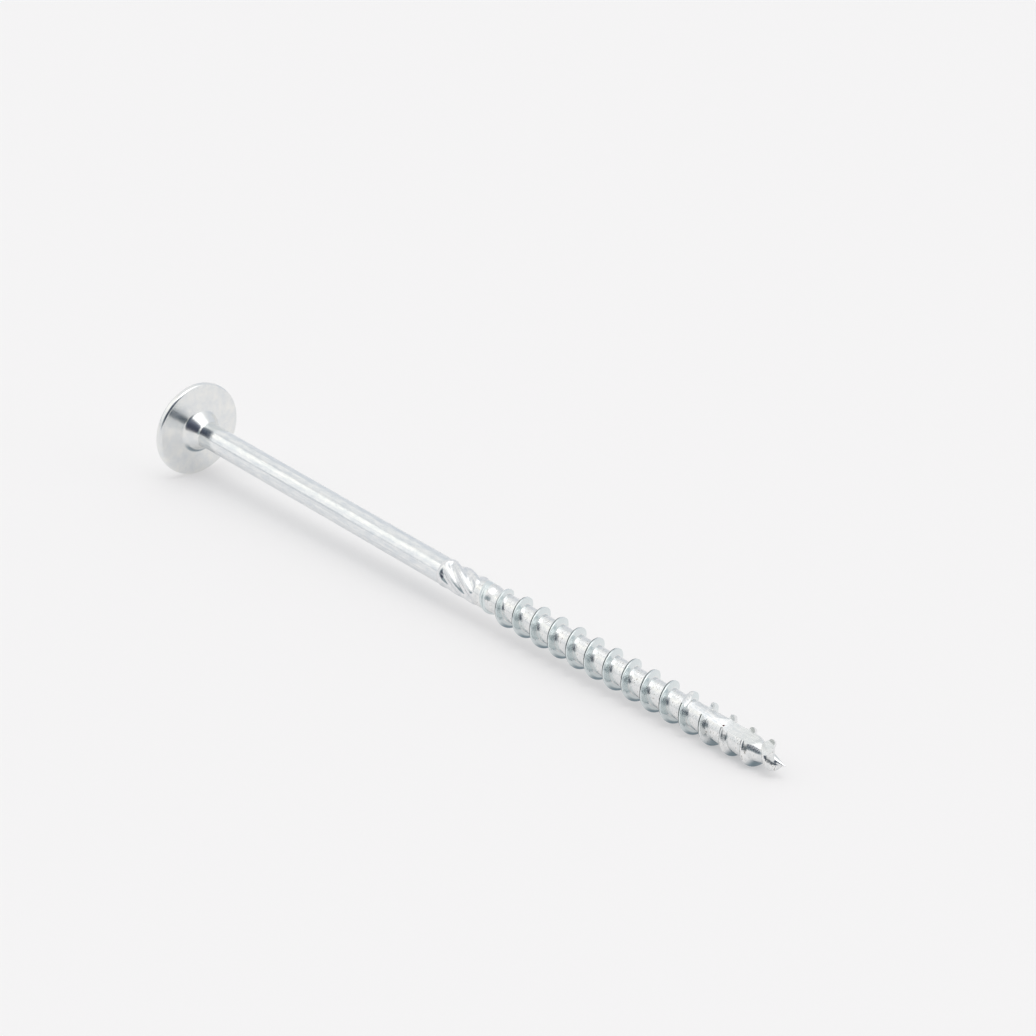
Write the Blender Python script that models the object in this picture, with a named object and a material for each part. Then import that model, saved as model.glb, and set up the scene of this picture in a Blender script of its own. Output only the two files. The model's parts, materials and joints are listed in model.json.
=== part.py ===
"""Flange-head construction screw, 8 x 180 mm, as it lies on a table.

The screw is one solid: a wide flange head with a domed crown and a six-lobe recess, a neck, a plain
shank, a short shank cutter with twisted grooves, a coarse right-hand thread, and a point with a
notch milled along its upper side, through the thread and into the core.

It is modelled along +X, from the head to the point, with X = 0 at the bearing face under the head.
Its skin is one grid: columns of points run from head to point, the same angle apart all round, and
rings or turns of points run round it. The recess and the notch are then cut with Booleans. Last, the
screw is laid down as it comes to rest, on the rim of the head and on one crest of the thread.
"""

import math

import bmesh
import bpy
import numpy as np
from mathutils import Vector

MM = 0.001

# Head
HEAD_DIAMETER = 22.0 * MM
FLANGE_THICKNESS = 1.9 * MM
TOP_EDGE_RADIUS = 0.5 * MM
UNDER_EDGE_RADIUS = 0.4 * MM
CROWN_DIAMETER = 15.8 * MM
CROWN_HEIGHT = 2.0 * MM
BEARING_INNER_DIAMETER = 17.4 * MM
UNDERSIDE_RISE = 0.45 * MM
NECK_DIAMETER = 9.85 * MM
NECK_LENGTH = 2.9 * MM
NECK_FILLET = 2.0 * MM

# Six-lobe recess, size 40
LOBES = 6
RECESS_ACROSS_LOBES = 6.75 * MM
RECESS_ACROSS_RIDGES = 4.85 * MM
RECESS_LOBE_RADIUS = 0.546 * MM
RECESS_DEPTH = 3.9 * MM
RECESS_CHAMFER = 0.25 * MM
RECESS_FLOOR_DROP = 0.7 * MM

# Shank and shank cutter
SCREW_LENGTH = 180.0 * MM  # from under the head to the point
SHANK_DIAMETER = 5.9 * MM
CUTTER_LENGTH = 11.2 * MM
CUTTER_DIAMETER = 6.25 * MM
CUTTER_SHOULDER = 0.35 * MM
GROOVE_COUNT = 6
GROOVE_LEAD = 29.2 * MM  # length in which a groove would go once round
GROOVE_DEPTH = 0.65 * MM
GROOVE_SHAPE = 0.7  # under 1 makes the grooves wide and the ribs between them sharp
GROOVE_RUN_IN = 1.2 * MM
GROOVE_ANGLE = math.radians(18.6)  # where one groove starts, from +Y towards +Z
CUTTER_TO_THREAD = 1.0 * MM

# Thread
THREAD_LENGTH = 83.0 * MM
THREAD_DIAMETER = 7.9 * MM
CORE_DIAMETER = 5.2 * MM
PITCH = 5.2 * MM
THREAD_ANGLE = math.radians(48.0)  # where the thread starts, from +Y towards +Z
CREST_WIDTH = 0.4 * MM
FLANK_ANGLE = math.radians(20.0)
POINT_FLANK_ANGLE = math.radians(35.0)
RUN_OUT_TURNS = 1.5
END_HEIGHT = 0.08 * MM  # how far the thread's two ends still stand out of the core

# Point
POINT_LENGTH = 8.2 * MM
TAPER_LENGTH = 20.0 * MM
SHOULDER_DISTANCE = 4.6 * MM
SHOULDER_DIAMETER = 6.5 * MM
LAST_TURN_DISTANCE = 2.3 * MM
LAST_TURN_DIAMETER = 4.1 * MM
THREAD_END_DISTANCE = 0.9 * MM
NOTCH_LENGTH = 23.1 * MM
NOTCH_WIDTH = 4.0 * MM
NOTCH_FLOOR_HEIGHT = 2.45 * MM  # from the axis, at the notch's rear end
NOTCH_SLOPE = math.radians(1.6)
NOTCH_RUN_OUT_RADIUS = 3.0 * MM
NOTCH_ANGLE = math.radians(102.0)  # which way the notch opens, from +Y towards +Z

# Plating
PLATING_COLOUR = (0.72, 0.75, 0.78, 1.0)
PLATING_ROUGHNESS = 0.28

# Fineness of the mesh
SIDES = 42
CROWN_STEPS = 6
ARC_STEPS = 4
TWIST_STEPS = 9
LOBE_STEPS = 4
LEAST_EDGE = 0.05 * MM
SHARP_ANGLE = math.radians(25.0)

HEAD_RADIUS = HEAD_DIAMETER / 2
SHANK_RADIUS = SHANK_DIAMETER / 2
CUTTER_RADIUS = CUTTER_DIAMETER / 2
CORE_RADIUS = CORE_DIAMETER / 2
THREAD_START = SCREW_LENGTH - THREAD_LENGTH
CUTTER_END = THREAD_START - CUTTER_TO_THREAD
CUTTER_START = CUTTER_END - CUTTER_LENGTH
POINT_START = SCREW_LENGTH - POINT_LENGTH
CROWN_TOP = -FLANGE_THICKNESS - CROWN_HEIGHT
COLUMN = 2 * math.pi / SIDES
FIRST_COLUMN = (COLUMN - math.pi) / 2


def around(x, radius, angle):
    """Returns the point at this place along the screw, turned from +Y towards +Z by the angle."""
    return Vector((x, radius * math.cos(angle), radius * math.sin(angle)))


def add_ring(bm, x, radii, twist=0.0):
    """Adds a ring with one point on each column; the first two columns straddle the underside."""
    return [bm.verts.new(around(x, radius, FIRST_COLUMN + column * COLUMN + twist))
            for column, radius in enumerate(radii)]


def add_strip(bm, near, far):
    """Fills the strip between two lines of points, with quads where they pair up."""
    if len(near) != len(far):
        bm.faces.new(dict.fromkeys(near + far[::-1]))
        return
    for corners in zip(near, near[1:], far[1:], far):
        bm.faces.new(dict.fromkeys(corners))


def add_band(bm, ring, following):
    """Fills the band between two rings."""
    add_strip(bm, ring + ring[:1], following + following[:1])


def add_object(name, bm):
    """Makes an object of a finished bmesh, with its faces turned outwards."""
    bmesh.ops.recalc_face_normals(bm, faces=bm.faces)
    mesh = bpy.data.meshes.new(name)
    bm.to_mesh(mesh)
    bm.free()
    obj = bpy.data.objects.new(name, mesh)
    bpy.context.collection.objects.link(obj)
    return obj


def rounded(corners):
    """Turns corners (x, radius, rounding) into an outline, with an arc wherever rounding is asked for."""
    outline = [corners[0][:2]]
    for previous, (x, radius, rounding), following in zip(corners, corners[1:], corners[2:]):
        if rounding == 0.0:
            outline.append((x, radius))
            continue
        corner = Vector((x, radius))
        before = (Vector(previous[:2]) - corner).normalized()
        after = (Vector(following[:2]) - corner).normalized()
        half = before.angle(after) / 2
        centre = corner + (before + after).normalized() * rounding / math.sin(half)
        first = (corner + before * rounding / math.tan(half) - centre).normalized()
        last = (corner + after * rounding / math.tan(half) - centre).normalized()
        for step in range(ARC_STEPS + 1):
            outline.append(tuple(centre + rounding * first.slerp(last, step / ARC_STEPS)))
    outline.append(corners[-1][:2])
    return outline


def crown_outline():
    """Returns the domed crown from beside its middle to just short of its foot, as one arc."""
    foot = CROWN_DIAMETER / 2
    ball = (foot ** 2 + CROWN_HEIGHT ** 2) / (2 * CROWN_HEIGHT)
    reach = math.asin(foot / ball)
    swings = [reach * step / CROWN_STEPS for step in range(1, CROWN_STEPS)]
    return [(CROWN_TOP + ball * (1 - math.cos(swing)), ball * math.sin(swing)) for swing in swings]


def shaft_outline():
    """Returns the outline from the crown's foot, round the flange and the neck, to the shank's end."""
    return rounded([
        (-FLANGE_THICKNESS, CROWN_DIAMETER / 2, 0.0),
        (-FLANGE_THICKNESS, HEAD_RADIUS, TOP_EDGE_RADIUS),
        (0.0, HEAD_RADIUS, UNDER_EDGE_RADIUS),
        (0.0, BEARING_INNER_DIAMETER / 2, 0.0),
        (UNDERSIDE_RISE, NECK_DIAMETER / 2, 0.0),
        (UNDERSIDE_RISE + NECK_LENGTH, SHANK_RADIUS, NECK_FILLET),
        (CUTTER_START, SHANK_RADIUS, 0.0),
    ])


def add_head_and_shank(bm):
    """Turns the head, the neck and the plain shank, and returns the ring at the shank's end."""
    middle = bm.verts.new((CROWN_TOP, 0.0, 0.0))
    ring = [middle] * SIDES
    for x, radius in crown_outline() + shaft_outline():
        following = add_ring(bm, x, [radius] * SIDES)
        add_band(bm, ring, following)
        ring = following
    return ring


def add_shank_cutter(bm, ring):
    """Twists a grooved bar on from the shank, steps it down to the core and returns the last ring."""
    angles = [GROOVE_COUNT * (FIRST_COLUMN + column * COLUMN - GROOVE_ANGLE) for column in range(SIDES)]
    hollows = [((1 + math.cos(angle)) / 2) ** GROOVE_SHAPE for angle in angles]
    last = CUTTER_LENGTH - CUTTER_SHOULDER
    run_in = CUTTER_SHOULDER + GROOVE_RUN_IN
    places = [CUTTER_SHOULDER] + list(np.linspace(run_in, last, TWIST_STEPS + 1))
    for along in places:
        depth = GROOVE_DEPTH if along >= run_in else 0.0
        radii = [CUTTER_RADIUS - depth * hollow for hollow in hollows]
        twist = 2 * math.pi * along / GROOVE_LEAD
        following = add_ring(bm, CUTTER_START + along, radii, twist)
        add_band(bm, ring, following)
        ring = following
    core = add_ring(bm, CUTTER_END, [CORE_RADIUS] * SIDES)
    columns_on = round(twist / COLUMN) % SIDES
    add_band(bm, ring, core[columns_on:] + core[:columns_on])
    return core


def core_radius(x):
    """Returns the radius of the thread's core, which narrows evenly to the point."""
    return CORE_RADIUS * min(1.0, (SCREW_LENGTH - x) / POINT_LENGTH)


def crest_radius(x):
    """Returns how far the crest stands from the axis: it rises from the core and tapers at the point."""
    end = SCREW_LENGTH - THREAD_END_DISTANCE
    places = (THREAD_START, THREAD_START + RUN_OUT_TURNS * PITCH, SCREW_LENGTH - TAPER_LENGTH,
              SCREW_LENGTH - SHOULDER_DISTANCE, SCREW_LENGTH - LAST_TURN_DISTANCE, end)
    diameters = (CORE_DIAMETER + 2 * END_HEIGHT, THREAD_DIAMETER, THREAD_DIAMETER,
                 SHOULDER_DIAMETER, LAST_TURN_DIAMETER, 2 * core_radius(end) + 2 * END_HEIGHT)
    return float(np.interp(x, places, diameters)) / 2


def flank_angle(x):
    """Returns how far the ridge's flanks lean: they grow wider over the taper, up to the last turn."""
    places = (SCREW_LENGTH - TAPER_LENGTH, SCREW_LENGTH - SHOULDER_DISTANCE)
    return float(np.interp(x, places, (FLANK_ANGLE, POINT_FLANK_ANGLE)))


def add_ridge_section(bm, x, angle):
    """Adds the ridge's points on one column: its rear foot, the crest's two edges and its front foot."""
    crest = crest_radius(x)
    half_crest = CREST_WIDTH / 2
    half_foot = half_crest + (crest - core_radius(x)) * math.tan(flank_angle(x))
    points = ((x - half_foot, core_radius(x - half_foot)), (x - half_crest, crest),
              (x + half_crest, crest), (x + half_foot, core_radius(x + half_foot)))
    return [bm.verts.new(around(place, radius, angle)) for place, radius in points]


def core_line(bm, rear, front):
    """Joins two points of a column along the core, with a point between where the core's cone starts."""
    if rear.co.x + LEAST_EDGE < POINT_START < front.co.x - LEAST_EDGE:
        return [rear, bm.verts.new((POINT_START, rear.co.y, rear.co.z)), front]
    return [rear, front]


def add_thread(bm, ring):
    """Winds the ridge on round the core, from the ring to the point, and closes the point."""
    first = round((THREAD_ANGLE - FIRST_COLUMN) / COLUMN)
    steps = int((THREAD_LENGTH - THREAD_END_DISTANCE) / PITCH * SIDES)
    ridge = []
    for step in range(steps + 1):
        angle = FIRST_COLUMN + (first + step) * COLUMN
        x = THREAD_START + PITCH * (angle - THREAD_ANGLE) / (2 * math.pi)
        ridge.append(add_ridge_section(bm, x, angle))
    tip = bm.verts.new((SCREW_LENGTH, 0.0, 0.0))
    rears = [[ring[(first + column) % SIDES]] for column in range(SIDES)] + ridge
    fronts = ridge + [[tip]] * SIDES
    gaps = [core_line(bm, rear[-1], front[0]) for rear, front in zip(rears, fronts)]
    column_of_start = gaps[0] + ridge[0][1:-1] + gaps[SIDES]
    column_of_end = gaps[steps] + ridge[-1][1:-1] + gaps[-1]
    for index, (near, far) in enumerate(zip(gaps, gaps[1:])):
        if index + 1 == SIDES:
            far = column_of_start
        if index == steps:
            near = column_of_end
        add_strip(bm, near, far)
    for near, far in zip(ridge, ridge[1:]):
        add_strip(bm, near, far)


def screw_body():
    """Builds the whole skin of the screw from the crown to the point, before anything is cut."""
    bm = bmesh.new()
    add_thread(bm, add_shank_cutter(bm, add_head_and_shank(bm)))
    return add_object("construction_screw", bm)


def add_prism(bm, outlines):
    """Adds a closed body that runs through outlines with equal numbers of points."""
    rings = [[bm.verts.new(point) for point in outline] for outline in outlines]
    for ring, following in zip(rings, rings[1:]):
        add_band(bm, ring, following)
    return bm.faces.new(rings[0]), bm.faces.new(rings[-1])


def six_lobe_outline(scale):
    """Returns the recess's outline as (y, z) pairs: round lobes with hollow ridges tangent to them."""
    lobe_centre = RECESS_ACROSS_LOBES / 2 - RECESS_LOBE_RADIUS
    ridge = RECESS_ACROSS_RIDGES / 2
    spread = math.pi / LOBES
    leg = lobe_centre * math.cos(spread)
    ridge_radius = ((lobe_centre ** 2 - RECESS_LOBE_RADIUS ** 2 + ridge ** 2 - 2 * ridge * leg)
                    / (2 * (RECESS_LOBE_RADIUS + leg - ridge)))
    ridge_centre = ridge + ridge_radius
    lean = math.atan2(ridge_centre * math.sin(spread), ridge_centre * math.cos(spread) - lobe_centre)
    lobe_turns = np.linspace(-lean, lean, LOBE_STEPS + 1)
    ridge_turns = np.linspace(lean - spread, spread - lean, LOBE_STEPS + 1)[1:-1]
    outline = []
    for lobe in range(LOBES):
        out = 2 * spread * lobe
        facing = out + spread
        for turn in lobe_turns:
            outline.append((lobe_centre * math.cos(out) + RECESS_LOBE_RADIUS * math.cos(out + turn),
                            lobe_centre * math.sin(out) + RECESS_LOBE_RADIUS * math.sin(out + turn)))
        for turn in ridge_turns:
            outline.append((ridge_centre * math.cos(facing) - ridge_radius * math.cos(facing + turn),
                            ridge_centre * math.sin(facing) - ridge_radius * math.sin(facing + turn)))
    return [(scale * y, scale * z) for y, z in outline]


def recess_cutter():
    """Makes the six-lobe plug that cuts the recess, with a chamfered mouth and a coned floor."""
    flare = 2 * RECESS_CHAMFER
    wide = (RECESS_ACROSS_LOBES + 2 * flare) / RECESS_ACROSS_LOBES
    mouth = CROWN_TOP + RECESS_CHAMFER
    levels = ((mouth - flare, wide), (mouth, 1.0), (CROWN_TOP + RECESS_DEPTH, 1.0))
    bm = bmesh.new()
    floor = add_prism(bm, [[(x, y, z) for y, z in six_lobe_outline(scale)] for x, scale in levels])[1]
    bmesh.ops.poke(bm, faces=[floor])["verts"][0].co.x += RECESS_FLOOR_DROP
    return add_object("recess_cutter", bm)


def notch_cutter():
    """Makes the bar that mills the notch: its floor deepens forwards and curves up at its rear."""
    reach = THREAD_DIAMETER
    end = SCREW_LENGTH + reach
    start = SCREW_LENGTH - NOTCH_LENGTH
    full_swing = math.acos(max(0.0, 1 - (reach - NOTCH_FLOOR_HEIGHT) / NOTCH_RUN_OUT_RADIUS))
    side = [(end, reach)]
    for swing in np.linspace(full_swing, 0.0, 2 * ARC_STEPS + 1):
        side.append((start - NOTCH_RUN_OUT_RADIUS * math.sin(swing),
                     NOTCH_FLOOR_HEIGHT + NOTCH_RUN_OUT_RADIUS * (1 - math.cos(swing))))
    side.append((end, NOTCH_FLOOR_HEIGHT - (end - start) * math.tan(NOTCH_SLOPE)))
    up = around(0.0, 1.0, NOTCH_ANGLE)
    across = around(0.0, 1.0, NOTCH_ANGLE + math.pi / 2)
    bm = bmesh.new()
    add_prism(bm, [[Vector((x, 0, 0)) + up * height + across * edge for x, height in side]
                   for edge in (-NOTCH_WIDTH / 2, NOTCH_WIDTH / 2)])
    return add_object("notch_cutter", bm)


def cut(screw, tool):
    """Cuts the tool out of the screw and keeps it as a hidden guide that moves with the screw."""
    tool.parent = screw
    tool.hide_render = True
    tool.display_type = "WIRE"
    modifier = screw.modifiers.new(tool.name, "BOOLEAN")
    modifier.operation = "DIFFERENCE"
    modifier.solver = "EXACT"
    modifier.object = tool


def finished_points(screw):
    """Returns the finished screw's points as rows of an array, in its own coordinates."""
    evaluated = screw.evaluated_get(bpy.context.evaluated_depsgraph_get())
    mesh = evaluated.to_mesh()
    points = np.empty(3 * len(mesh.vertices), dtype=np.float32)
    mesh.vertices.foreach_get("co", points)
    evaluated.to_mesh_clear()
    return points.reshape(-1, 3).astype(float)


def lay_down(screw):
    """Tilts the screw until its thread touches the ground with the rim, and centres it over the origin."""
    points = finished_points(screw)
    rim_drop = HEAD_RADIUS * math.cos(COLUMN / 2)
    thread = points[points[:, 0] > CUTTER_END]
    slopes = (thread[:, 2] + rim_drop) / (thread[:, 0] + UNDER_EDGE_RADIUS)
    tilt = math.atan(slopes.min())
    x = points[:, 0] * math.cos(tilt) + points[:, 2] * math.sin(tilt)
    z = points[:, 2] * math.cos(tilt) - points[:, 0] * math.sin(tilt)
    screw.rotation_euler = (0.0, tilt, 0.0)
    screw.location = (-(x.min() + x.max()) / 2, 0.0, -z.min())


def zinc_plating():
    """Returns bright zinc plating as a plain material."""
    material = bpy.data.materials.new("bright_zinc_plated_steel")
    material.use_nodes = True
    shader = material.node_tree.nodes["Principled BSDF"]
    shader.inputs["Base Color"].default_value = PLATING_COLOUR
    shader.inputs["Metallic"].default_value = 1.0
    shader.inputs["Roughness"].default_value = PLATING_ROUGHNESS
    return material


def main():
    for obj in list(bpy.data.objects):
        bpy.data.objects.remove(obj, do_unlink=True)
    screw = screw_body()
    cut(screw, recess_cutter())
    cut(screw, notch_cutter())
    lay_down(screw)
    screw.data.materials.append(zinc_plating())
    screw.data.shade_smooth()
    screw.data.set_sharp_from_angle(angle=SHARP_ANGLE)


main()
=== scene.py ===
"""Looks of a flange-head construction screw, zinc-plated, lying on a pale table under soft light.

The screw is remodelled finely in its own frame, along +X from the bearing face under its head, and is
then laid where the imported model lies. Head, neck and shank are turned from an outline. The shank
cutter and the thread follow rules, so Geometry Nodes make them. The recess and the notch are cut last.
"""

import json
import math

import bmesh
import bpy
import numpy as np
from mathutils import Matrix, Vector


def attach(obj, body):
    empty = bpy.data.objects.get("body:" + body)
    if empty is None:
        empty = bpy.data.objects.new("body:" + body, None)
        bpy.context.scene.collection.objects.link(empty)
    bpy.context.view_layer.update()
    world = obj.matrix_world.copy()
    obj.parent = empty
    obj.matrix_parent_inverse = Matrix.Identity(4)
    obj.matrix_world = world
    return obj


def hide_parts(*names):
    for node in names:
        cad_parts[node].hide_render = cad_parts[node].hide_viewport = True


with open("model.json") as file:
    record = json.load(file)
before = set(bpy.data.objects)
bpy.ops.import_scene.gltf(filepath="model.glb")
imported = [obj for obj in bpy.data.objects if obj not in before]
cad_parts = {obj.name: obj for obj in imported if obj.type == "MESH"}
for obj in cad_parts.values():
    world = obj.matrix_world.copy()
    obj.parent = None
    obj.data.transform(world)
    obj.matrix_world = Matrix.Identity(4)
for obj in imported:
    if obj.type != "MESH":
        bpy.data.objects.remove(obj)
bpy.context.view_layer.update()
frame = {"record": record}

MM = 0.001

# Head
HEAD_RADIUS = 11.0 * MM
FLANGE_THICKNESS = 1.9 * MM
TOP_EDGE_RADIUS = 0.6 * MM
UNDER_EDGE_RADIUS = 0.6 * MM
CROWN_RADIUS = 7.9 * MM
CROWN_HEIGHT = 2.0 * MM
CROWN_FOOT_ROUNDING = 0.25 * MM
BEARING_INNER_RADIUS = 8.7 * MM
UNDERSIDE_RISE = 0.45 * MM
NECK_RADIUS = 4.925 * MM
NECK_FOOT_ROUNDING = 0.9 * MM
NECK_LENGTH = 2.9 * MM
NECK_FILLET = 2.0 * MM

# Six-lobe recess
LOBES = 6
RECESS_ACROSS_LOBES = 6.75 * MM
RECESS_ACROSS_RIDGES = 4.85 * MM
RECESS_LOBE_RADIUS = 0.546 * MM
RECESS_DEPTH = 3.9 * MM
RECESS_CHAMFER = 0.25 * MM
RECESS_FLOOR_DROP = 0.7 * MM

# Shank and shank cutter; rib top and groove floor are heights of a wave that runs from -1 to 1
SCREW_LENGTH = 180.0 * MM
SHANK_RADIUS = 2.95 * MM
DRAWN_START = UNDERSIDE_RISE + 2 * NECK_LENGTH
CUTTER_START = 84.8 * MM
CUTTER_END = 96.0 * MM
CUTTER_RADIUS = 3.125 * MM
CUTTER_SHOULDER = 0.8 * MM
GROOVE_COUNT = 6
GROOVE_LEAD = 30.6 * MM
GROOVE_DEPTH = 0.46 * MM
RIB_TOP = -1.0
GROOVE_FLOOR = 0.7
FLOOR_RISE = 0.15
GROOVE_RUN_IN = 1.2 * MM
GROOVE_ANGLE = math.radians(21.0)
COLLAR_RADIUS = 2.92 * MM
COLLAR_END = 99.1 * MM
COLLAR_FALL = 1.9 * MM

# Thread and point
THREAD_START = 97.0 * MM
THREAD_RADIUS = 3.95 * MM
CORE_RADIUS = 2.6 * MM
PITCH = 5.2 * MM
THREAD_ANGLE = math.radians(48.0)
CREST_WIDTH = 0.66 * MM
CREST_SHIFT = 0.18 * MM
CREST_LEAN = math.radians(26.0)
FLANK_ANGLE = math.radians(15.0)
POINT_FLANK_ANGLE = math.radians(35.0)
RUN_OUT = 7.8 * MM
CREST_ROUNDING = 0.22 * MM
ROOT_ROUNDING = 0.15 * MM
POINT_LENGTH = 8.2 * MM
TAPER_LENGTH = 20.0 * MM
SHOULDER_DISTANCE = 4.6 * MM
SHOULDER_RADIUS = 3.25 * MM
LAST_TURN_DISTANCE = 2.3 * MM
LAST_TURN_RADIUS = 2.05 * MM
THREAD_END_DISTANCE = 0.9 * MM
NOTCH_LENGTH = 23.1 * MM
NOTCH_WIDTH = 4.0 * MM
NOTCH_FLOOR_HEIGHT = 2.45 * MM
NOTCH_SLOPE = math.radians(1.6)
NOTCH_RUN_OUT_RADIUS = 3.0 * MM
NOTCH_ANGLE = math.radians(102.0)

# Where the finishes and the painted shade change: each pair says where a change begins and where it is
# complete. Undersides are given by the sine of the direction in which the surface faces, the rest by a
# distance.
SHANK_SHADE_UNDERSIDE = (-0.6, -0.76)
NECK_SHADE_UNDERSIDE = (-0.3, -0.8)
THREAD_SHADE_UNDERSIDE = (-0.5, -0.92)
NECK_SHADE_START = (-0.4 * MM, 0.0)
NECK_SHADE_RADIUS = NECK_RADIUS - 0.1 * MM
NECK_SHADE_WIDTH = (0.6 * MM, 0.1 * MM)
FLANK_HEIGHT = (2.65 * MM, 2.9 * MM)
FLANK_REACH = (0.9 * MM, 0.7 * MM)
RIM_HEIGHT = (3.1 * MM, 3.6 * MM)
LAP_SHADE_HEIGHT = (3.6 * MM, 3.72 * MM)
LAP_SHADE_FRONT = (0.03 * MM, -0.05 * MM)
LAP_SHADE_REAR = (-0.36 * MM, -0.28 * MM)
LAP_SHADE_RAGGEDNESS = 0.3 * MM
TAPER_ZONE = (SCREW_LENGTH - 1.1 * TAPER_LENGTH, SCREW_LENGTH - 0.8 * TAPER_LENGTH)
THREAD_SHADE_END = (SCREW_LENGTH - 4.0 * MM, SCREW_LENGTH - 6.0 * MM)
NOTCH_FRONT = (SCREW_LENGTH - 0.75 * NOTCH_LENGTH, SCREW_LENGTH - 0.4 * NOTCH_LENGTH)
NOTCH_FRONT_GREYING = 0.7
RUST_SPECK = Vector((164.9, -1.22, 2.02)) * MM
RUST_RADIUS = (0.3 * MM, 0.15 * MM)

# Fineness of the mesh. The first column lies half a step past straight down. Row crowding runs from 0,
# evenly spaced, to 1, and the thread's strip is wound past the point by its overrun.
SIDES = 120
COLUMN = 2 * math.pi / SIDES
FIRST_COLUMN = (COLUMN - math.pi) / 2
ROWS_ACROSS_PITCH = 34
ROW_CROWDING = 0.85
STRIP_OVERRUN = 1.1 * PITCH
CUTTER_ROWS = 70
ARC_STEPS = 8
CROWN_STEPS = 14
WELD = 0.001 * MM
TIP_WELD = 0.01 * MM
SHARP_ANGLE = math.radians(32.0)

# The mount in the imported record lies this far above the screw's axis
MOUNT_HEIGHT = 9.6 * MM

# Camera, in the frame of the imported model
CAMERA_PLACE = Vector((374.148, -352.4, 252.699)) * MM
CAMERA_FORWARD = Vector((-0.64911, 0.6405, -0.41034))
CAMERA_UP = Vector((-0.33073, 0.2481, 0.9105))
LENS = 95.1
SENSOR = 36.0

# The studio, as seen from the screw: (azimuth from +X towards +Y, elevation, the angles inside which each
# patch is full and outside which it is gone, all in degrees, its colour and its strength)
WALL_STRENGTH = 0.92
STUDIO = (
    (0, 90, 27, 40, "#FFFFFF", 1.4),
    (-42, 80, 6, 18, "#FFFFFF", 4.0),
    (110, 12, 22, 50, "#EDF0F4", 0.92),
    (-170, 49, 2, 9, "#FFFFFF", 0.84),
    (-134, 22, 8, 20, "#FFFFFF", 1.02),
    (-146, 40, 7, 17, "#FFFEFA", 1.2),
    (-132, 2, 3, 8, "#DCDEE0", 1.0),
    (-150, 3, 5, 14, "#E0E2E5", 1.0),
    (-172, 5, 6, 16, "#E0E2E5", 1.0),
    (-98, 16, 6, 26, "#98A4A9", 1.0),
    (-30, 26, 16, 36, "#525E6C", 1.0),
    (-8, 2, 8, 26, "#5C6368", 1.0),
    (-62, 42, 6, 26, "#6A7080", 1.0),
    (-68, 22, 6, 28, "#444857", 1.0),
)

# The card under the screw reaches this far from its middle. CARD_GLOW says how much of the card's own
# paleness the camera sees whatever light falls on it, and CARD_IN_MIRROR how much more the zinc sees.
CARD_REACH = 4.0
CARD_GLOW = 0.45
CARD_IN_MIRROR = 1.1


def hex_colour(text):
    """Turns an sRGB hex colour into the linear colour that the shaders take."""
    parts = [int(text[place:place + 2], 16) / 255 for place in (1, 3, 5)]
    return [part / 12.92 if part <= 0.04045 else ((part + 0.055) / 1.055) ** 2.4 for part in parts] + [1.0]


def add(tree, kind, inputs=None, **settings):
    """Adds a node with its settings, and fills its inputs with values, nodes or outputs."""
    node = tree.nodes.new(kind)
    for name, value in settings.items():
        setattr(node, name, value)
    for key, value in (inputs or {}).items():
        socket = node.inputs[key] if isinstance(key, int) else next(
            one for one in node.inputs if key in (one.identifier, one.name))
        if isinstance(value, bpy.types.Node):
            value = next(one for one in value.outputs if one.enabled)
        if isinstance(value, bpy.types.NodeSocket):
            tree.links.new(value, socket)
        else:
            socket.default_value = value
    return node


def placed(obj):
    """Puts an object into the scene and returns it."""
    bpy.context.collection.objects.link(obj)
    return obj


def written(name, bm):
    """Writes a bmesh into a new mesh and frees it."""
    mesh = bpy.data.meshes.new(name)
    bm.to_mesh(mesh)
    bm.free()
    return mesh


# Materials. A pixel of the picture covers 0.2 mm, so marks that are finer on the real zinc are drawn
# coarser: its crystals of some 0.02 mm as grit of 0.3 to 0.5 mm, and marks of dies and mills as wide.

def steel(name, pose, colour, roughness):
    """Starts a material of zinc on steel. Its place runs along the screw from the bearing face.

    The plain colour and roughness are for viewers that don't show the patterns.
    """
    material = bpy.data.materials.new(name)
    material.use_nodes = True
    tree = material.node_tree
    shader = tree.nodes["Principled BSDF"]
    shader.inputs["Metallic"].default_value = 1.0
    shader.inputs["Base Color"].default_value = hex_colour(colour)
    shader.inputs["Roughness"].default_value = roughness
    back = pose.inverted()
    place = add(tree, "ShaderNodeMapping",
                {"Vector": add(tree, "ShaderNodeTexCoord").outputs["Object"],
                 "Location": back.translation, "Rotation": back.to_euler()})
    return material, tree, shader, place


def cloudy(tree, place, grain, length=1.0, detail=3.0):
    """Adds a noise with this grain in metres, drawn out along the screw by length."""
    stretched = add(tree, "ShaderNodeMapping", {"Vector": place, "Scale": (1.0 / length, 1.0, 1.0)})
    return add(tree, "ShaderNodeTexNoise", {"Vector": stretched, "Scale": 1.0 / grain, "Detail": detail,
                                            "Roughness": 0.6})


def tinted(tree, shader, share, dark, light, spread=(0.3, 0.7)):
    """Lets the base colour go from dark to light while the share crosses this spread."""
    level = add(tree, "ShaderNodeMapRange", {"Value": share, "From Min": spread[0], "From Max": spread[1]})
    colour = add(tree, "ShaderNodeMix", {"Factor_Float": level, "A_Color": hex_colour(dark),
                                         "B_Color": hex_colour(light)}, data_type="RGBA")
    tree.links.new(colour.outputs[2], shader.inputs["Base Color"])


def stained(tree, shader, share, colour):
    """Lays a colour over the base colour by the share."""
    under = shader.inputs["Base Color"].links[0].from_socket
    both = add(tree, "ShaderNodeMix", {"Factor_Float": share, "A_Color": under,
                                       "B_Color": hex_colour(colour)}, data_type="RGBA")
    tree.links.new(both.outputs[2], shader.inputs["Base Color"])


def satin(tree, shader, share, rough, smooth):
    """Lets the roughness go from rough to smooth with the share, so that pale clouds are the shiny ones."""
    level = add(tree, "ShaderNodeMapRange", {"Value": share, "From Min": 0.3, "From Max": 0.7,
                                             "To Min": rough, "To Max": smooth})
    tree.links.new(level.outputs[0], shader.inputs["Roughness"])


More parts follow.
